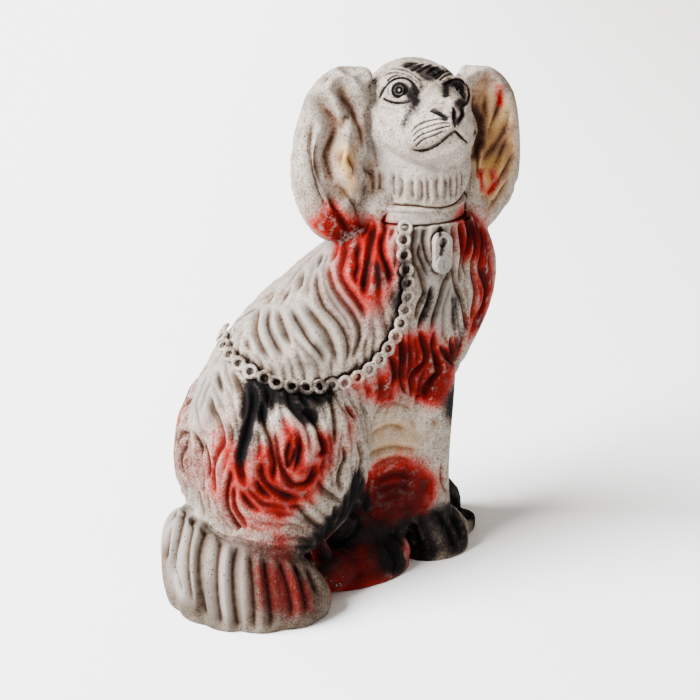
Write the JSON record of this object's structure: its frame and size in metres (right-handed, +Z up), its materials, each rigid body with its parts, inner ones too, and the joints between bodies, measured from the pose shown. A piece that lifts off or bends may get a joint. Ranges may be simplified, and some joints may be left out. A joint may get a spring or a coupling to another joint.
{
  "type": "dog figure",
  "caption": "Seated spaniel mantel figure in worn painted plaster, with hanging ears, collar, padlock and a chain over its back.",
  "frame": {"origin": "on the ground, under the middle of the figure's bounding box", "axes": "+X the way the dog's body faces, +Y its left side, +Z up; the head is turned to face -Y"},
  "size_m": [0.23, 0.1221, 0.303],
  "materials": {
    "worn_white_plaster": "matt, chipped paint over cast plaster",
    "grey_plaster": "matt, rubbed grey wash over cast plaster",
    "black_painted_plaster": "satin black paint over cast plaster",
    "red_painted_plaster": "satin red paint over cast plaster"
  },
  "bodies": {
    "root": {"base_slab": "red_painted_plaster", "chain": "worn_white_plaster", "collar": "worn_white_plaster", "head": "worn_white_plaster", "left_ear": "worn_white_plaster", "left_eye": "black_painted_plaster", "left_foreleg": "worn_white_plaster", "left_forepaw": "black_painted_plaster", "left_haunch": "worn_white_plaster", "left_hind_paw": "red_painted_plaster", "neck": "worn_white_plaster", "nose": "black_painted_plaster", "padlock": "worn_white_plaster", "right_ear": "worn_white_plaster", "right_eye": "black_painted_plaster", "right_foreleg": "worn_white_plaster", "right_forepaw": "black_painted_plaster", "right_haunch": "worn_white_plaster", "right_hind_paw": "red_painted_plaster", "tail": "grey_plaster", "torso": "worn_white_plaster"}
  },
  "joints": []
}
